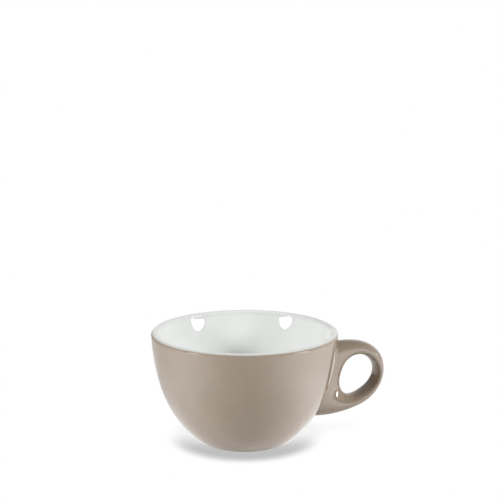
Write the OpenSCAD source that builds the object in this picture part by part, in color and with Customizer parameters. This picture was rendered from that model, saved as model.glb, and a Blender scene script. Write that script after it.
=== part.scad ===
// Cappuccino cup: a glazed ceramic bowl with a looped handle on its side.
// Lengths are in millimetres and angles in degrees. The origin is the centre
// of the foot on the table, +Z is up, and the handle points along +X.

/* [Bowl] */
// Outer diameter at the lip
cup_diameter = 110; // [104:0.5:116]
// Height of the wall up to where the lip starts to round over
wall_height = 62.7; // [59:0.1:68]
// Outer diameter of the foot on the table
foot_diameter = 57.4; // [54:0.2:62]
// Slope of the wall where it leaves the foot, from level
foot_slope = 39.5; // [36:0.5:43]
// How far the wall keeps the foot's slope before it turns up
foot_pull = 20.6; // [18:0.2:23]
// How far the wall leans outward at the lip, from upright
lip_lean = 2.7; // [0:0.1:5]
// How far down the wall keeps the lip's lean
lip_pull = 29.6; // [27:0.2:33]
// Thickness of the wall at the lip, which is rounded all the way over
lip_thickness = 3.8; // [3:0.1:5]

/* [Inside] */
// Height of the floor inside, above the table
floor_height = 6.5; // [5.5:0.1:8]
// How far the floor stays level before it turns up, as a share of the wall's own turn
floor_share = 0.8; // [0.7:0.01:0.86]
// How far the inside leans outward at the lip, from upright
inside_lean = 9; // [6:0.5:11]
// How far down the inside keeps that lean, as a share of the outside
inside_share = 0.74; // [0.64:0.01:0.9]

/* [Foot] */
// Width of the flat ring that stands on the table
seat_width = 3.6; // [2.5:0.1:5]
// Width of the broken edge outside that ring
foot_edge = 0.6; // [0.4:0.1:1]
// Depth of the recess under the floor
recess_depth = 2.2; // [1.2:0.1:2.6]
// Height of the bare clay band above the table
bare_band = 1; // [0.6:0.1:2]

/* [Glaze] */
// Thickness of every glaze coat
glaze_thickness = 0.35; // [0.2:0.05:0.5]
// Where the outer colour stops on the round of the lip, above level
colour_edge = 39; // [20:1:60]

/* [Handle] */
// From the outside of the lip out to the centre of the finger hole
hole_reach = 16.2; // [14.5:0.1:18]
// From the start of the lip down to the centre of the finger hole
hole_drop = 30.4; // [28:0.1:33]
// Long half size of the finger hole
hole_long = 13.4; // [11.4:0.1:13.8]
// Short half size of the finger hole
hole_short = 11.1; // [9.4:0.1:11.6]
// Tilt of the finger hole's long way, from level
hole_tilt = 58.5; // [45:0.5:70]
// From the finger hole's centre in to the centre of the handle's outline
outline_set_in = 16.5; // [15:0.1:18]
// From the finger hole's centre down to the centre of the handle's outline
outline_set_down = 1.2; // [0:0.1:2]
// Long half size of the handle's outline
outline_long = 34; // [33.5:0.1:36.5]
// Short half size of the handle's outline
outline_short = 22.6; // [22:0.1:24.6]
// Tilt of the outline's long way, from level
outline_tilt = 12.5; // [8:0.5:16]
// Width of the handle, from side to side
handle_width = 12.5; // [10:0.1:16]
// Radius of the round where the handle grows out of the bowl
root_fillet = 1.6; // [1:0.1:2.5]

/* [Joint] */
// Thickness of the slip that joins the handle to the bowl
slip_thickness = 0.5; // [0.3:0.05:0.8]

/* [Hidden] */

$fn = 96;
clay_color = "Linen";
slip_color = "Wheat";
white_color = "WhiteSmoke";
taupe_color = "RosyBrown";

// Steps along a wall curve, round the lip, across the recess, and along the
// handle's face from the finger hole to where its outer round or fillet begins
wall_steps = 30;
lip_steps = 16;
recess_steps = 10;
face_steps = 6;
// Sections of the handle lie on rays from the centre of the finger hole. Those
// between these two angles can meet the bowl, and lie closer together.
root_rays = [114, 228];
fine_step = 3;
coarse_step = 6;
// Where a section has its points in that round or fillet, as shares of its
// width, and the least length that the section has beyond them
root_shares = [1.1, 0.6, 0.3, 0.1, 0];
end_length = 0.2;
// Halvings that find where a ray meets the wall
search_steps = 24;

// How much the finger hole and the outline depart from true ellipses
hole_pear_share = 0.05;
hole_lean_share = -0.024;
outline_pear_share = -0.033;
// Exponents of the handle's section and of the recess, where 2 is an ellipse,
// and how sharply a coat or swell along the section fades from its two ends
section_power = 2.2;
recess_power = 4;
end_power = 3;
// Where the recess glaze starts, in degrees up from the seat
recess_glaze_start = 12;

// How far the handle's raw shape runs on into the bowl before it is trimmed
root_overrun = 2;

cup_radius = cup_diameter / 2;
foot_radius = foot_diameter / 2;
lip_radius = lip_thickness / 2;
seat_outer = foot_radius - foot_edge;
seat_inner = seat_outer - seat_width;
hole_x = cup_radius + hole_reach;
hole_z = wall_height - hole_drop;

// Control points of the outer wall, from the foot to the lip
wall_points = [
    [foot_radius, 0],
    [foot_radius + foot_pull * cos(foot_slope), foot_pull * sin(foot_slope)],
    [cup_radius - lip_pull * sin(lip_lean), wall_height - lip_pull * cos(lip_lean)],
    [cup_radius, wall_height]
];

// Centre of the round of the lip, and the inner wall's end on that round
lip_center = wall_points[3] + lip_radius * [-cos(lip_lean), sin(lip_lean)];
inside_top = lip_center + lip_radius * [-cos(inside_lean), sin(inside_lean)];
inside_pull = inside_share * lip_pull;

// Control points of the inside, from the middle of the floor to the lip
inside_points = [
    [0, floor_height],
    [floor_share * wall_points[1][0], floor_height],
    inside_top - inside_pull * [sin(inside_lean), cos(inside_lean)],
    inside_top
];

// Where the outer glaze starts along the wall's curve, which rises there by
// three times the height of its second control point
glaze_start = bare_band / (3 * wall_points[1][1]);

function bezier(p, t) =
    pow(1 - t, 3) * p[0] + 3 * t * pow(1 - t, 2) * p[1]
    + 3 * t * t * (1 - t) * p[2] + pow(t, 3) * p[3];

function bezier_run(p, t) =
    pow(1 - t, 2) * (p[1] - p[0]) + 2 * t * (1 - t) * (p[2] - p[1])
    + t * t * (p[3] - p[2]);

// Point of a curve moved to the right of the way it runs
function beside(p, t, distance) =
    let (run = bezier_run(p, t))
    bezier(p, t) + distance * [run[1], -run[0]] / norm(run);

function spread(low, high, steps) =
    [for (i = [0:steps]) low + (high - low) * i / steps];

// The outer wall, from the foot or from the glaze's edge, and the inside,
// each moved outward by a distance
function glazed_wall(distance) =
    [for (t = spread(glaze_start, 1, wall_steps)) beside(wall_points, t, distance)];

function whole_wall(distance) =
    concat([beside(wall_points, 0, distance)], glazed_wall(distance));

function inside_wall(distance) =
    [for (t = spread(0, 1, wall_steps)) beside(inside_points, t, distance)];

// The round of the lip at a distance from its surface, between two angles
function lip_arc(low, high, distance) =
    [for (a = spread(low, high, lip_steps))
        lip_center + (lip_radius + distance) * [cos(a), sin(a)]];

// The recess under the floor, a flat-topped dome, moved down by a distance
function recess_point(a, distance) =
    let (
        across = pow(cos(a), 2 / recess_power),
        up = pow(sin(a), 2 / recess_power),
        slope = [pow(across, recess_power - 1) / seat_inner,
            pow(up, recess_power - 1) / recess_depth]
    )
    [seat_inner * across, recess_depth * up] - distance * slope / norm(slope);

function recess_curve(start, distance) =
    [for (a = spread(start, 90, recess_steps)) recess_point(a, distance)];

// Outer radius of the wall at a height
wall_table = [for (p = whole_wall(0)) [p[1], p[0]]];
function wall_radius(z) = lookup(z, wall_table);

// How far a point lies outside the wall
function wall_gap(x, y, z) = norm([x, y]) - wall_radius(z);

// Distance from the finger hole's centre to an ellipse, along a ray
function ellipse_reach(a, center, long_half, short_half, tilt) =
    let (
        ray = [cos(a - tilt) / long_half, sin(a - tilt) / short_half],
        middle = [
            (center[0] * cos(tilt) + center[1] * sin(tilt)) / long_half,
            (center[1] * cos(tilt) - center[0] * sin(tilt)) / short_half
        ],
        square = ray * ray,
        cross_part = ray * middle
    )
    (cross_part + sqrt(pow(cross_part, 2) - square * (middle * middle - 1))) / square;

// Reach of the finger hole's edge and of the handle's outline, along a ray
function hole_edge(a) =
    ellipse_reach(a, [0, 0], hole_long, hole_short, hole_tilt)
    * (1 + hole_pear_share * cos(3 * a) + hole_lean_share * sin(3 * a));

function outline_edge(a) =
    ellipse_reach(a, [-outline_set_in, -outline_set_down],
        outline_long, outline_short, outline_tilt)
    * (1 + outline_pear_share * cos(3 * a));

// Gap to the wall beside the handle, at a reach along a ray
function side_gap(a, reach) =
    wall_gap(hole_x + reach * cos(a), handle_width / 2, hole_z + reach * sin(a));

// Reach at which the ray's side line meets the wall
function reach_to_wall(a, near, far, steps) =
    let (middle = (near + far) / 2)
    steps == 0 ? middle
    : side_gap(a, middle) > 0 ? reach_to_wall(a, middle, far, steps - 1)
    : reach_to_wall(a, near, middle, steps - 1);

// How much the handle swells where it comes near the wall
function swell(gap) =
    let (left = root_fillet - min(max(gap, 0), root_fillet))
    root_fillet - sqrt(pow(root_fillet, 2) - pow(left, 2));

// Reaches of a section's points, close together at the finger hole and again
// at the outline, or in the fillet where the section runs into the wall
function section_reaches(a, near, far) =
    let (
        wall = reach_to_wall(a, near, far - end_length, search_steps),
        slant = root_fillet / side_gap(a, wall - root_fillet),
        stretch = min(
            root_fillet * min(max(slant, 1), 2),
            (wall - near) / 2 / root_shares[0]
        ),
        knee = wall - root_shares[0] * stretch,
        end = min(far, wall + root_overrun)
    )
    concat(
        [for (i = [0:face_steps]) near + (knee - near) * (1 - cos(90 * i / face_steps))],
        [for (i = [1:len(root_shares) - 1]) wall - root_shares[i] * stretch],
        [(wall + end) / 2, end]
    );

// One loop of points round the handle's section, on the ray at an angle.
// It starts at the finger hole, runs out along one side to the outline or a
// little way into the wall, and comes back along the other side.
function section_loop(a, coat) =
    let (
        near = hole_edge(a),
        far = outline_edge(a),
        middle = (near + far) / 2,
        half = (far - near) / 2,
        reaches = section_reaches(a, near, far),
        last = len(reaches) - 1
    )
    [for (i = [0:2 * last - 1])
        let (
            step = i <= last ? i : 2 * last - i,
            side = i <= last ? 1 : -1,
            reach = reaches[step],
            out = (reach - middle) / half,
            wide = step == 0 || step == last ? 0
                : side * pow(1 - pow(abs(out), section_power), 1 / section_power),
            gap = wall_gap(hole_x + reach * cos(a), wide * handle_width / 2,
                hole_z + reach * sin(a)),
            swollen = swell(gap),
            along = pow(out, end_power),
            r = reach + coat * along + swollen * max(along, 0)
        )
        [
            hole_x + r * cos(a),
            wide * (handle_width / 2 + coat + swollen),
            hole_z + r * sin(a)
        ]
    ];

// The handle's loop with a coat on it, running on into the bowl
module loop(coat) {
    angles = concat(
        [for (a = [root_rays[0]:fine_step:root_rays[1] - fine_step]) a],
        [for (a = [root_rays[1]:coarse_step:root_rays[0] + 360 - coarse_step]) a]
    );
    sections = [for (a = angles) section_loop(a, coat)];
    around = len(sections[0]);
    faces = [
        for (i = [0:len(angles) - 1])
            for (j = [0:around - 1])
                let (
                    here = i * around,
                    next = ((i + 1) % len(angles)) * around,
                    k = (j + 1) % around
                )
                each [
                    [here + j, here + k, next + k],
                    [here + j, next + k, next + j]
                ]
    ];
    polyhedron([for (s = sections) each s], faces);
}

// Everything inside the wall moved outward by a distance, filled to the axis
module filled_wall(distance) {
    curve = whole_wall(distance);
    top = curve[len(curve) - 1];
    rotate_extrude() polygon(concat([[0, curve[0][1]]], curve, [[0, top[1]]]));
}

module bowl() {
    color(clay_color) rotate_extrude() polygon(concat(
        recess_curve(0, 0),
        inside_wall(glaze_thickness),
        lip_arc(180 - inside_lean, -lip_lean, -glaze_thickness),
        [for (i = [wall_steps - 1:-1:0]) glazed_wall(-glaze_thickness)[i]],
        [beside(wall_points, 0, -glaze_thickness), [seat_outer, 0]]
    ));
}

module handle() {
    color(clay_color) difference() {
        loop(0);
        filled_wall(slip_thickness - glaze_thickness);
    }
}

module handle_slip() {
    color(slip_color) difference() {
        intersection() {
            loop(0);
            filled_wall(slip_thickness - glaze_thickness);
        }
        filled_wall(-glaze_thickness);
    }
}

module lining_glaze() {
    back = inside_wall(glaze_thickness);
    color(white_color) rotate_extrude() polygon(concat(
        inside_wall(0),
        lip_arc(180 - inside_lean, colour_edge, 0),
        lip_arc(colour_edge, 180 - inside_lean, -glaze_thickness),
        [for (i = [wall_steps:-1:0]) back[i]]
    ));
}

module bowl_glaze() {
    back = glazed_wall(-glaze_thickness);
    color(taupe_color) difference() {
        rotate_extrude() polygon(concat(
            glazed_wall(0),
            lip_arc(-lip_lean, colour_edge, 0),
            lip_arc(colour_edge, -lip_lean, -glaze_thickness),
            [for (i = [wall_steps:-1:0]) back[i]]
        ));
        loop(0);
    }
}

module handle_glaze() {
    color(taupe_color) difference() {
        loop(glaze_thickness);
        loop(0);
        filled_wall(0);
    }
}

module recess_glaze() {
    front = recess_curve(recess_glaze_start, glaze_thickness);
    color(white_color) rotate_extrude() polygon(concat(
        recess_curve(recess_glaze_start, 0),
        [for (i = [recess_steps:-1:0]) front[i]]
    ));
}

bowl();
handle();
handle_slip();
lining_glaze();
bowl_glaze();
handle_glaze();
recess_glaze();
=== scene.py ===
"""Cappuccino cup on a white table: taupe outside, white inside, a looped handle.

Metres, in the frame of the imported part: the foot stands at z = 0 and the handle
points along +X.
"""

import math
from bisect import bisect_left

import bmesh
import bpy
from mathutils import Matrix, Vector


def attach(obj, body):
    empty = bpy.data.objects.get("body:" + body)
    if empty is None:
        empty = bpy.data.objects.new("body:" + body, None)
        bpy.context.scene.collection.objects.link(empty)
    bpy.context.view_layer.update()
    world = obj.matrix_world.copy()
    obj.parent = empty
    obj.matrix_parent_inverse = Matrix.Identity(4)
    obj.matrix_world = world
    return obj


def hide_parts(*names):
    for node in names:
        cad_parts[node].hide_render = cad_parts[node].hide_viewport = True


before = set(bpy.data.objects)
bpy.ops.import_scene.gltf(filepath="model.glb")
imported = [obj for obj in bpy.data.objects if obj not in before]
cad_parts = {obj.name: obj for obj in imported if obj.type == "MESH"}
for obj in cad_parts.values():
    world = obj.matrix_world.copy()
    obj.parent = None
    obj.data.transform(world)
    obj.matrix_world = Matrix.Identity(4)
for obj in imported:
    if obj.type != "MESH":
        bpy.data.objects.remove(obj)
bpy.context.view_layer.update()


# The bowl: a thick-walled stoneware body, jiggered on a plaster mould and
# turned at the foot. Fired clay shows only on the ring it stands on and in a
# narrow band above that ring, which were wiped clean of glaze.
def fill(tree, socket, value):
    """Give a node's socket a number, a colour, a way or another node's output."""
    if isinstance(value, bpy.types.NodeSocket):
        tree.links.new(value, socket)
    else:
        socket.default_value = value


def ranged(tree, value, span=(0, 1), levels=(0, 1), smooth=False):
    """A value carried from its span to new levels, and held at both ends."""
    node = tree.nodes.new("ShaderNodeMapRange")
    if smooth:
        node.interpolation_type = "SMOOTHSTEP"
    fill(tree, node.inputs["Value"], value)
    fill(tree, node.inputs["From Min"], span[0])
    fill(tree, node.inputs["From Max"], span[1])
    fill(tree, node.inputs["To Min"], levels[0])
    fill(tree, node.inputs["To Max"], levels[1])
    return node.outputs["Result"]


def mottled(tree, scale, detail, roughness=0.5):
    """Noise fixed to the piece itself."""
    node = tree.nodes.new("ShaderNodeTexNoise")
    place = tree.nodes.new("ShaderNodeTexCoord")
    fill(tree, node.inputs["Vector"], place.outputs["Object"])
    fill(tree, node.inputs["Scale"], scale)
    fill(tree, node.inputs["Detail"], detail)
    fill(tree, node.inputs["Roughness"], roughness)
    return node.outputs["Fac"]


def two_toned(tree, value, *tones):
    """A colour between two tones, each given as a place on the value and a colour."""
    node = tree.nodes.new("ShaderNodeValToRGB")
    for element, (position, color) in zip(node.color_ramp.elements, tones):
        element.position = position
        element.color = list(color) + [1]
    fill(tree, node.inputs["Fac"], value)
    return node.outputs["Color"]


def bumped(tree, height, strength, distance):
    """A surface raised a little by a value."""
    node = tree.nodes.new("ShaderNodeBump")
    fill(tree, node.inputs["Height"], height)
    fill(tree, node.inputs["Strength"], strength)
    fill(tree, node.inputs["Distance"], distance)
    return node.outputs["Normal"]


def clay_material(name, color, grain):
    """Bare fired clay: dry, speckled and slightly gritty."""
    clay = bpy.data.materials.new(name)
    clay.use_nodes = True
    tree = clay.node_tree
    surface = tree.nodes["Principled BSDF"]
    speckle = mottled(tree, scale=grain, detail=8)
    dark_speck = [0.86 * part for part in color]
    tint = two_toned(tree, speckle, (0.36, dark_speck), (0.6, color))
    dryness = ranged(tree, speckle, levels=(0.72, 0.92))
    grit = bumped(tree, speckle, strength=0.5, distance=0.00006)
    fill(tree, surface.inputs["Base Color"], tint)
    fill(tree, surface.inputs["Roughness"], dryness)
    fill(tree, surface.inputs["Normal"], grit)
    return clay


def finish_node(node, material):
    """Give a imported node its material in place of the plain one."""
    node.data.materials.clear()
    node.data.materials.append(material)


bare_clay = clay_material("bare_clay", color=(0.66, 0.6, 0.51), grain=1400)
finish_node(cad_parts["bowl"], bare_clay)

# The handle under its glaze: pressed from the same clay, trimmed to the curve
# of the wall and joined to it with slip, a paste of clay and water. Both were
# then fired into one with the bowl, and the glaze hides them.
fired_slip = clay_material("fired_slip", color=(0.6, 0.53, 0.43), grain=2600)
finish_node(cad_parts["handle"], bare_clay)
finish_node(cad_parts["handle_slip"], fired_slip)

# The outer glaze: taupe, poured over the upturned bowl after the white, about
# a third of a millimetre thick. It stops above the foot and on the round of
# the lip, where it thins out over the white.
cup_radius = 0.055
wall_height = 0.0627
foot_radius = 0.0287
glaze_thickness = 0.00035
bare_band = 0.001
lip_radius = 0.0019
lip_lean = math.radians(2.7)
lip_pull = 0.0296
foot_slope = math.radians(39.5)
foot_pull = 0.0206
colour_edge = math.radians(39)
around_steps = 256
same_point = 1e-7
crisp_edge = math.radians(50)

foot_edge = Vector((foot_radius, 0))
wall_top = Vector((cup_radius, wall_height))
wall_points = [
    foot_edge,
    foot_edge + foot_pull * Vector((math.cos(foot_slope), math.sin(foot_slope))),
    wall_top - lip_pull * Vector((math.sin(lip_lean), math.cos(lip_lean))),
    wall_top,
]
lip_side = Vector((-math.cos(lip_lean), math.sin(lip_lean)))
lip_center = wall_top + lip_radius * lip_side


def curve_point(points, t, outward=0.0):
    """Point of a wall's curve, moved to the right of the way it runs."""
    s = 1 - t
    low, low_pull, high_pull, high = points
    place = (
        s**3 * low + 3 * s * s * t * low_pull + 3 * s * t * t * high_pull + t**3 * high
    )
    run = (
        s * s * (low_pull - low)
        + 2 * s * t * (high_pull - low_pull)
        + t * t * (high - high_pull)
    )
    return place + outward * Vector((run.y, -run.x)).normalized()


def spread(low, high, steps):
    """Evenly spaced values from low to high, with both ends."""
    return [low + (high - low) * i / steps for i in range(steps + 1)]


def wall_curve(points, start, outward, steps=72, crowding=1.6):
    """Points up a wall, closer together towards the lip."""
    return [
        curve_point(points, 1 - (1 - start) * down**crowding, outward)
        for down in spread(1, 0, steps)
    ]


def lip_curve(low, high, outward, steps=40):
    """Points round the lip from one angle to another."""
    reach = lip_radius + outward
    return [
        lip_center + reach * Vector((math.cos(a), math.sin(a)))
        for a in spread(low, high, steps)
    ]


def turned_coat(name, profile, closed_at_axis):
    """A coat turned round the bowl's axis from its cross-section."""
    shell = bmesh.new()
    points = [shell.verts.new((p.x, 0, p.y)) for p in profile]
    if not closed_at_axis:
        points.append(points[0])
    edges = [shell.edges.new(pair) for pair in zip(points, points[1:])]
    bmesh.ops.spin(
        shell,
        geom=edges + list(shell.verts),
        axis=(0, 0, 1),
        cent=(0, 0, 0),
        angle=math.tau,
        steps=around_steps,
        use_merge=True,
    )
    bmesh.ops.remove_doubles(shell, verts=shell.verts, dist=same_point)
    bmesh.ops.recalc_face_normals(shell, faces=shell.faces)
    return smooth_piece(name, shell)


def smooth_piece(name, shell):
    """An object made of a shell, shaded smooth apart from its crisp edges."""
    mesh = bpy.data.meshes.new(name)
    shell.to_mesh(mesh)
    shell.free()
    mesh.shade_smooth()
    mesh.set_sharp_from_angle(angle=crisp_edge)
    piece = bpy.data.objects.new(name, mesh)
    bpy.context.scene.collection.objects.link(piece)
    return piece


def mixed(tree, share, none, full, kind="FLOAT"):
    """Two values or colours mixed, by the share of the second."""
    node = tree.nodes.new("ShaderNodeMix")
    node.data_type = kind
    fill(tree, node.inputs["Factor"], share)
    fill(tree, node.inputs["A"], none)
    fill(tree, node.inputs["B"], full)
    return node.outputs["Result"]


def worked_out(tree, kind, operation, *values, result="Value"):
    """One step of a sum inside a material, on numbers (Math) or ways (VectorMath)."""
    node = tree.nodes.new("ShaderNode" + kind)
    node.operation = operation
    for socket, value in zip(node.inputs, values):
        fill(tree, socket, value)
    return node.outputs[result]


def glaze_material(name, color, deep_color, fleck, gloss):
    """Fired glaze: glassy, finely flecked, pooled, with a skin like orange peel."""
    glaze = bpy.data.materials.new(name)
    glaze.use_nodes = True
    tree = glaze.node_tree
    surface = tree.nodes["Principled BSDF"]
    surface.inputs["IOR"].default_value = 1.52
    flecks = mottled(tree, scale=900, detail=5, roughness=0.6)
    flecks.node.name = "flecks"
    pools = mottled(tree, scale=55, detail=3)
    depth = mixed(tree, fleck, pools, flecks)
    tint = two_toned(tree, depth, (0.34, deep_color), (0.66, color))
    peel = mottled(tree, scale=120, detail=1)
    skin = bumped(tree, peel, strength=0.15, distance=0.00003)
    fill(tree, surface.inputs["Base Color"], tint)
    fill(tree, surface.inputs["Roughness"], ranged(tree, pools, levels=gloss))
    fill(tree, surface.inputs["Normal"], skin)
    return glaze


def thin_toward(glaze, way, span, color, most, waver=0.0008):
    """Let what is under a glaze tint it where it runs thin.

    The span is of heights, or of distances from the axis, and its edge wavers
    a little with the flecks.
    """
    tree = glaze.node_tree
    base_color = tree.nodes["Principled BSDF"].inputs["Base Color"]
    flecks = tree.nodes["flecks"].outputs["Fac"]
    place = tree.nodes.new("ShaderNodeTexCoord").outputs["Object"]
    if way == "upright":
        measure = worked_out(tree, "VectorMath", "DOT_PRODUCT", place, (0, 0, 1))
    else:
        off_axis = worked_out(
            tree, "VectorMath", "MULTIPLY", place, (1, 1, 0), result="Vector"
        )
        measure = worked_out(tree, "VectorMath", "LENGTH", off_axis)
    wavering = worked_out(tree, "Math", "MULTIPLY_ADD", flecks, waver, measure)
    centred = worked_out(tree, "Math", "SUBTRACT", wavering, waver / 2)
    thinness = ranged(tree, centred, span=span, levels=(0, most), smooth=True)
    over = base_color.links[0].from_socket
    under = list(color) + [1]
    fill(tree, base_color, mixed(tree, thinness, over, under, kind="RGBA"))


taupe_glaze = glaze_material(
    "taupe_glaze",
    color=(0.302, 0.2385, 0.178),
    deep_color=(0.263, 0.207, 0.152),
    fleck=0.55,
    gloss=(0.05, 0.09),
)
thin_toward(
    taupe_glaze, "upright", span=(0.0632, 0.064), color=(0.42, 0.37, 0.31), most=0.6
)
glaze_start = bare_band / (3 * wall_points[1].y)
outer_coat = turned_coat(
    "outer_coat",
    wall_curve(wall_points, glaze_start, 0)
    + lip_curve(-lip_lean, colour_edge, 0)[1:]
    + lip_curve(colour_edge, -lip_lean, -glaze_thickness)
    + wall_curve(wall_points, glaze_start, -glaze_thickness)[-2::-1],
    closed_at_axis=False,
)
outer_coat.data.materials.append(taupe_glaze)
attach(outer_coat, "root")
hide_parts("bowl_glaze")

# The lining: white glaze poured inside, swirled and poured out again. It
# covers the inside and most of the lip, and meets the taupe on the lip's
# outer shoulder, where the clay shows through faintly.
floor_height = 0.0065
floor_share = 0.8
inside_lean = math.radians(9)
inside_share = 0.74
inside_pull = inside_share * lip_pull
inside_side = Vector((-math.cos(inside_lean), math.sin(inside_lean)))
inside_top = lip_center + lip_radius * inside_side
inside_points = [
    Vector((0, floor_height)),
    Vector((floor_share * wall_points[1].x, floor_height)),
    inside_top - inside_pull * Vector((math.sin(inside_lean), math.cos(inside_lean))),
    inside_top,
]
white_glaze = glaze_material(
    "white_glaze",
    color=(0.777, 0.791, 0.772),
    deep_color=(0.757, 0.772, 0.755),
    fleck=0.35,
    gloss=(0.02, 0.04),
)
thin_toward(
    white_glaze, "upright", span=(0.0608, 0.0632), color=(0.72, 0.735, 0.72), most=1
)
thin_toward(
    white_glaze, "across", span=(0.0535, 0.0547), color=(0.44, 0.41, 0.36), most=0.7
)
lining_coat = turned_coat(
    "lining_coat",
    wall_curve(inside_points, 0, 0)
    + lip_curve(math.pi - inside_lean, colour_edge, 0)[1:]
    + lip_curve(colour_edge, math.pi - inside_lean, -glaze_thickness)
    + wall_curve(inside_points, 0, glaze_thickness)[-2::-1],
    closed_at_axis=True,
)
lining_coat.data.materials.append(white_glaze)
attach(lining_coat, "root")
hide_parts("lining_glaze")

# The recess under the floor: turned hollow inside the foot ring and glazed
# white, so that only the ring itself stands on the table.
ring_width = 0.0036
ring_round = 0.0006
recess_radius = foot_radius - ring_round - ring_width
recess_depth = 0.0022
recess_start = math.radians(12)


def recess_curve(outward, steps=28):
    """The flat-topped dome of the recess, moved down by a distance."""
    curve = []
    for a in spread(recess_start, math.pi / 2, steps):
        across, up = math.sqrt(max(math.cos(a), 0)), math.sqrt(math.sin(a))
        slope = Vector((across**3 / recess_radius, up**3 / recess_depth)).normalized()
        point = Vector((recess_radius * across, recess_depth * up))
        curve.append(point - outward * slope)
    curve[-1].x = 0
    return curve


recess_coat = turned_coat(
    "recess_coat",
    recess_curve(0)[::-1] + recess_curve(glaze_thickness),
    closed_at_axis=True,
)
recess_coat.data.materials.append(white_glaze)
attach(recess_coat, "root")
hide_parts("recess_glaze")

# The handle's glaze: the same taupe coat, drawn over the loop and running
# into the coat of the bowl over a small round. The loop is wide from side to
# side, round at its edges, and thickens towards the bowl.
hole_out = 0.0162
hole_down = 0.0304
hole_x = cup_radius + hole_out
hole_z = wall_height - hole_down
hole_half = (0.0134, 0.0111)
hole_tilt = math.radians(58.5)
hole_pear = (0.05, -0.024)
outline_center = (-0.0165, -0.0012)
outline_half = (0.034, 0.0226)
outline_tilt = math.radians(12.5)
outline_pear = -0.033
handle_width = 0.0125
section_power = 2.2
ray_steps = 320
section_steps = 56

outer_wall = wall_curve(wall_points, 0, 0, steps=240)
wall_heights = [p.y for p in outer_wall]


def wall_at(height):
    """Radius of the outer wall at a height, and how fast it grows there."""
    k = min(max(bisect_left(wall_heights, height), 1), len(outer_wall) - 1)
    low, high = outer_wall[k - 1], outer_wall[k]
    growth = (high.x - low.x) / (high.y - low.y)
    return low.x + growth * (height - low.y), growth


def off_wall(place):
    """Distance of a point from the wall's surface, and the way straight out."""
    radius, growth = wall_at(place.z)
    across = math.hypot(place.x, place.y)
    upright = 1 / math.hypot(1, growth)
    level = Vector((place.x, place.y, 0)) / across
    return (across - radius) * upright, upright * (level - Vector((0, 0, growth)))


def ellipse_reach(a, center, half, tilt):
    """How far a ray from the hole's middle runs to a tilted ellipse."""
    ray = Vector((math.cos(a - tilt) / half[0], math.sin(a - tilt) / half[1]))
    middle = Vector(
        (
            (center[0] * math.cos(tilt) + center[1] * math.sin(tilt)) / half[0],
            (center[1] * math.cos(tilt) - center[0] * math.sin(tilt)) / half[1],
        )
    )
    square, cross = ray.dot(ray), ray.dot(middle)
    return (cross + math.sqrt(cross**2 - square * (middle.dot(middle) - 1))) / square


def hole_edge(a):
    """Reach of the finger hole, an ellipse drawn out to a slight pear shape."""
    pear = 1 + hole_pear[0] * math.cos(3 * a) + hole_pear[1] * math.sin(3 * a)
    return pear * ellipse_reach(a, (0, 0), hole_half, hole_tilt)


def outline_edge(a):
    """Reach of the loop's outer edge."""
    pear = 1 + outline_pear * math.cos(3 * a)
    return pear * ellipse_reach(a, outline_center, outline_half, outline_tilt)


def on_ray(a, reach, side=0.0):
    """Point at a reach from the hole's middle, and off to one side."""
    return Vector((hole_x + reach * math.cos(a), side, hole_z + reach * math.sin(a)))


def reach_into_wall(a, near, far, depth=0.0012, halvings=24):
    """How far the ray runs before it is a given depth inside the wall."""
    if off_wall(on_ray(a, far))[0] > -depth:
        return far
    for _ in range(halvings):
        middle = (near + far) / 2
        if off_wall(on_ray(a, middle))[0] > -depth:
            near = middle
        else:
            far = middle
    return middle


# A ring stands round the hole, and is then drawn out to the loop's sections
ring_middle = 1
ring_half = 0.25
level_with_middle = 1e-6
loop = bmesh.new()
bmesh.ops.create_circle(loop, segments=section_steps, radius=ring_half)
bmesh.ops.translate(loop, verts=loop.verts, vec=(ring_middle, 0, 0))
bmesh.ops.spin(
    loop,
    geom=list(loop.verts) + list(loop.edges),
    axis=(0, -1, 0),
    cent=(0, 0, 0),
    angle=math.tau,
    steps=ray_steps,
    use_merge=True,
)
bmesh.ops.recalc_face_normals(loop, faces=loop.faces)
rays = {}
for vert in loop.verts:
    turn = math.degrees(math.atan2(vert.co.z, vert.co.x))
    ray = round(turn * ray_steps / 360) % ray_steps
    around = math.atan2(vert.co.y, math.hypot(vert.co.x, vert.co.z) - ring_middle)
    a = ray * math.tau / ray_steps
    if ray not in rays:
        near, far = hole_edge(a), outline_edge(a)
        rays[ray] = near, far, reach_into_wall(a, near, far)
    near, far, end = rays[ray]
    reach = near + (end - near) * (1 + math.cos(around)) / 2
    out = (reach - (near + far) / 2) / ((far - near) / 2)
    wide = max(1 - abs(out) ** section_power, 0) ** (1 / section_power)
    if abs(math.sin(around)) < level_with_middle:
        wide = 0
    side = math.copysign(wide * (handle_width / 2 + glaze_thickness), vert.co.y)
    vert.co = on_ray(a, reach + glaze_thickness * out, side)
loop.normal_update()

# The round where it meets the bowl: a rolling ball's path between the two
# surfaces, then a little further on just under the surface of the wall. The
# ball shrinks towards the foot, where the loop's underside runs out.
root_fillet = 0.0034
foot_fillet = 0.0012
shrink_span = (0.008, 0.022)
skirt_depth = 0.0006
skirt_sink = 0.00005
skirt_swell = 0.4
settling_steps = 3
for vert in loop.verts:
    gap, _ = off_wall(vert.co)
    above_foot = (vert.co.z - shrink_span[0]) / (shrink_span[1] - shrink_span[0])
    ball = foot_fillet + (root_fillet - foot_fillet) * min(max(above_foot, 0), 1)
    if gap >= ball:
        continue
    if gap >= 0:
        swell = ball - math.sqrt(ball**2 - (ball - gap) ** 2)
        target = gap
    else:
        under = min(-gap / skirt_depth, 1)
        swell = ball * (1 + skirt_swell * under)
        target = min(gap + skirt_depth, 0) - skirt_sink * under
    place = vert.co + swell * vert.normal
    for _ in range(settling_steps):
        now, out = off_wall(place)
        place += (target - now) * out
    vert.co = place

handle_coat = smooth_piece("handle_coat", loop)
handle_coat.data.materials.append(taupe_glaze)
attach(handle_coat, "root")
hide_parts("handle_glaze")

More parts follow.
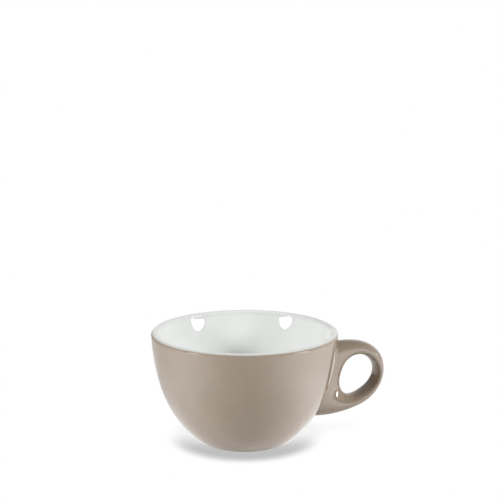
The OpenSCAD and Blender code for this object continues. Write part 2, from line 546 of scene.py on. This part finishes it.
# The table: a wide white sheet that sweeps away behind the cup without an
# edge. It is open from below, so that the foot can be looked at.
sheet_half = 6
sheet_drop = 0.00005
photo_side = math.radians(-16)
dark_turn = -130
dark_span = (0.7, 0.95)


def way_to(turn, lift=0):
    """Way out from the cup, by degrees round from the camera's side and up."""
    azimuth, elevation = photo_side + math.radians(turn), math.radians(lift)
    return Vector(
        (
            math.sin(azimuth) * math.cos(elevation),
            -math.cos(azimuth) * math.cos(elevation),
            math.sin(elevation),
        )
    )


table_mesh = bmesh.new()
bmesh.ops.create_grid(table_mesh, x_segments=1, y_segments=1, size=sheet_half)
bmesh.ops.translate(table_mesh, verts=table_mesh.verts, vec=(0, 0, -sheet_drop))
table_data = bpy.data.meshes.new("table")
table_mesh.to_mesh(table_data)
table_mesh.free()
table = bpy.data.objects.new("table", table_data)
bpy.context.scene.collection.objects.link(table)
sheet = bpy.data.materials.new("white_sheet")
sheet.use_nodes = True
tree = sheet.node_tree
tree.nodes.remove(tree.nodes["Principled BSDF"])
rays_seen = tree.nodes.new("ShaderNodeLightPath").outputs
on_sheet = tree.nodes.new("ShaderNodeTexCoord").outputs["Object"]
way_out = worked_out(tree, "VectorMath", "NORMALIZE", on_sheet, result="Vector")
far_off = worked_out(tree, "VectorMath", "LENGTH", on_sheet)

# The camera sees the sheet as a white glow with a painted shadow where the cup
# is close over it: grey by how close the cup is, and stronger on the near side
closeness = tree.nodes.new("ShaderNodeAmbientOcclusion")
closeness.samples = 16
closeness.inputs["Distance"].default_value = 0.016
shadow = ranged(
    tree, closeness.outputs["AO"], span=(0.4, 0.85), levels=(0.52, 1), smooth=True
)
near_side = worked_out(tree, "VectorMath", "DOT_PRODUCT", on_sheet, way_to(0))
near_shadow_share = ranged(
    tree, near_side, span=(-0.006, 0.028), levels=(0.2, 1), smooth=True
)
seen_sheet = tree.nodes.new("ShaderNodeEmission")
fill(tree, seen_sheet.inputs["Strength"], mixed(tree, near_shadow_share, 1, shadow))

# For mirror rays only, the sheet glows as a painted reflection: a pale band
# on either side of the cup, which the glaze shows down either side
band_narrowness = 4.2
beside = 0
for turn, peak in ((-60, 2.1), (66, 2.7)):
    toward = worked_out(tree, "VectorMath", "DOT_PRODUCT", way_out, way_to(turn))
    aside = worked_out(
        tree, "Math", "MULTIPLY_ADD", toward, band_narrowness, -band_narrowness
    )
    band = worked_out(tree, "Math", "EXPONENT", aside)
    beside = worked_out(tree, "Math", "MULTIPLY_ADD", band, peak, beside)
past_foot = ranged(tree, far_off, span=(0.02, 0.11))
# A painted glow for mirror rays round the foot, where the sheet lies in the cup's
# shade, which lightens the lower wall in the glaze
foot_glow = ranged(tree, far_off, span=(0.03, 0.1), levels=(0.45, 0))
mirror_glow_strength = worked_out(tree, "Math", "MULTIPLY_ADD", beside, past_foot, foot_glow)
mirrored = worked_out(tree, "Math", "MULTIPLY", mirror_glow_strength, rays_seen["Is Glossy Ray"])
painted_mirror_glow = tree.nodes.new("ShaderNodeEmission")
fill(tree, painted_mirror_glow.inputs["Strength"], mirrored)

# For mirror rays the sheet is painted a little brighter, and painted darker far
# off on the left behind the cup, where the room is dark: a painted dark
# reflection, which shows in the glaze inside the handle
sheet_white = 0.85
mirrored_gain = 0.2
mirrored_drop = 0.8
toward_dark = worked_out(tree, "VectorMath", "DOT_PRODUCT", way_out, way_to(dark_turn))
dark_share = ranged(tree, toward_dark, span=dark_span)
far_share = ranged(tree, far_off, span=(0.15, 0.5))
painted_dark_share = worked_out(tree, "Math", "MULTIPLY", dark_share, far_share)
gain = worked_out(
    tree, "Math", "MULTIPLY_ADD", painted_dark_share, -mirrored_drop, mirrored_gain
)
white = worked_out(
    tree, "Math", "MULTIPLY_ADD", rays_seen["Is Glossy Ray"], gain, sheet_white
)
paper = tree.nodes.new("ShaderNodeBsdfDiffuse")
fill(tree, paper.inputs["Color"], white)


def joined_shaders(tree, share, first, second):
    """Two shaders joined, by the share of the second."""
    node = tree.nodes.new("ShaderNodeMixShader")
    for socket, value in zip(node.inputs, (share, first, second)):
        fill(tree, socket, value)
    return node.outputs["Shader"]


lit_paper = tree.nodes.new("ShaderNodeAddShader")
fill(tree, lit_paper.inputs[0], paper.outputs["BSDF"])
fill(tree, lit_paper.inputs[1], painted_mirror_glow.outputs["Emission"])
by_ray = joined_shaders(
    tree,
    rays_seen["Is Camera Ray"],
    lit_paper.outputs["Shader"],
    seen_sheet.outputs["Emission"],
)
open_below = joined_shaders(
    tree,
    tree.nodes.new("ShaderNodeNewGeometry").outputs["Backfacing"],
    by_ray,
    tree.nodes.new("ShaderNodeBsdfTransparent").outputs["BSDF"],
)
fill(tree, tree.nodes["Material Output"].inputs["Surface"], open_below)
table_data.materials.append(sheet)

# The light: a white room all round, seen white by the camera and darker
# overhead and on the far left by the glaze, with two soft boxes beside the cup
# whose light comes in low over the rim.
matte_light = 0.355
world = bpy.data.worlds.new("white_room")
bpy.context.scene.world = world
world.use_nodes = True
tree = world.node_tree
room = tree.nodes["Background"]
room.inputs["Color"].default_value = (1, 1, 1, 1)
rays_seen = tree.nodes.new("ShaderNodeLightPath").outputs
way_in = tree.nodes.new("ShaderNodeTexCoord").outputs["Generated"]
overhead = worked_out(tree, "VectorMath", "DOT_PRODUCT", way_in, (0, 0, 1))
ceiling = ranged(tree, overhead, span=(0.25, 0.85), levels=(1, 0.35))
toward_dark = worked_out(tree, "VectorMath", "DOT_PRODUCT", way_in, way_to(dark_turn))
left_back = ranged(tree, toward_dark, span=dark_span, levels=(1, 0.2))
walls = worked_out(tree, "Math", "MULTIPLY", ceiling, left_back)
seen_room = worked_out(tree, "Math", "MAXIMUM", walls, rays_seen["Is Camera Ray"])
seen = rays_seen["Is Camera Ray"]
for kind in ("Is Glossy Ray", "Is Transmission Ray"):
    seen = worked_out(tree, "Math", "MAXIMUM", seen, rays_seen[kind])
room_light = ranged(tree, seen, levels=(matte_light, seen_room))
fill(tree, room.inputs["Strength"], room_light)

lit_point = Vector((0, 0, 0.055))
light_distance = 1.1
box_lift = 23.5
box_size = (0.36, 0.2)
for name, turn, watts in (("right_box", 75, 8.8), ("left_box", -62, 8.25)):
    lamp = bpy.data.lights.new(name, "AREA")
    lamp.shape = "RECTANGLE"
    lamp.size, lamp.size_y = box_size
    lamp.energy = watts
    box = bpy.data.objects.new(name, lamp)
    way = way_to(turn, box_lift)
    box.location = lit_point + light_distance * way
    box.rotation_euler = way.to_track_quat("Z", "Y").to_euler()
    box.visible_glossy = False
    bpy.context.scene.collection.objects.link(box)

# In the glaze each box shows instead as a card with a straight lower edge and
# a rounded top, lower down, which the inside mirrors upside down as a shield
for name, turn, lift, half, lean, strength in (
    ("right_card", 69.5, 4.1, (0.19, 0.098), -8.2, 35),
    ("left_card", -59.5, 4.6, (0.176, 0.103), 6.8, 32),
):
    card_mesh = bmesh.new()
    bmesh.ops.create_circle(card_mesh, cap_ends=True, segments=64, radius=1)
    bmesh.ops.bisect_plane(
        card_mesh,
        geom=list(card_mesh.verts) + list(card_mesh.edges) + list(card_mesh.faces),
        plane_co=(0, 0, 0),
        plane_no=(0, 1, 0),
        clear_inner=True,
    )
    bmesh.ops.scale(card_mesh, verts=card_mesh.verts, vec=(half[0], half[1], 1))
    way = way_to(turn, lift)
    bmesh.ops.transform(
        card_mesh,
        verts=card_mesh.verts,
        matrix=Matrix.Translation(lit_point + light_distance * way)
        @ way.to_track_quat("Z", "Y").to_matrix().to_4x4()
        @ Matrix.Rotation(math.radians(lean), 4, "Z"),
    )
    card_data = bpy.data.meshes.new(name)
    card_mesh.to_mesh(card_data)
    card_mesh.free()
    card = bpy.data.objects.new(name, card_data)
    bpy.context.scene.collection.objects.link(card)
    lit = bpy.data.materials.new(name)
    lit.use_nodes = True
    tree = lit.node_tree
    tree.nodes.remove(tree.nodes["Principled BSDF"])
    lamp_face = tree.nodes.new("ShaderNodeEmission")
    lamp_face.inputs["Strength"].default_value = strength
    surface = tree.nodes["Material Output"].inputs["Surface"]
    fill(tree, surface, lamp_face.outputs["Emission"])
    card_data.materials.append(lit)
    card.visible_camera = False
    card.visible_diffuse = False
    card.visible_shadow = False

# The camera: a moderately long lens, 0.6 m from the cup and 17 degrees up. It
# is turned a little, so that the cup stands low in the frame, as photographed.
photo_size = 500
photo_focus = 1001
cup_pixel = (244.736, 378.53)
camera_lift = 16.653
camera_distance = 0.6
aim = Vector((0, 0, 0.035))
spot = aim + camera_distance * way_to(0, camera_lift)
forward = (aim - spot).normalized()
right = Vector((math.cos(photo_side), math.sin(photo_side), 0))
up = right.cross(forward)
down_turn = math.atan((cup_pixel[1] - photo_size / 2) / photo_focus)
side_turn = math.atan((cup_pixel[0] - photo_size / 2) / photo_focus)
forward = forward * math.cos(down_turn) + up * math.sin(down_turn)
up = right.cross(forward)
forward = forward * math.cos(side_turn) - right * math.sin(side_turn)
right = forward.cross(up)
lens = bpy.data.cameras.new("camera")
lens.sensor_width = 36
lens.lens = lens.sensor_width * photo_focus / photo_size
camera = bpy.data.objects.new("camera", lens)
turned = Matrix((right, up, -forward)).transposed().to_4x4()
camera.matrix_world = Matrix.Translation(spot) @ turned
bpy.context.scene.collection.objects.link(camera)
bpy.context.scene.camera = camera
bpy.context.scene.view_settings.view_transform = "Standard"
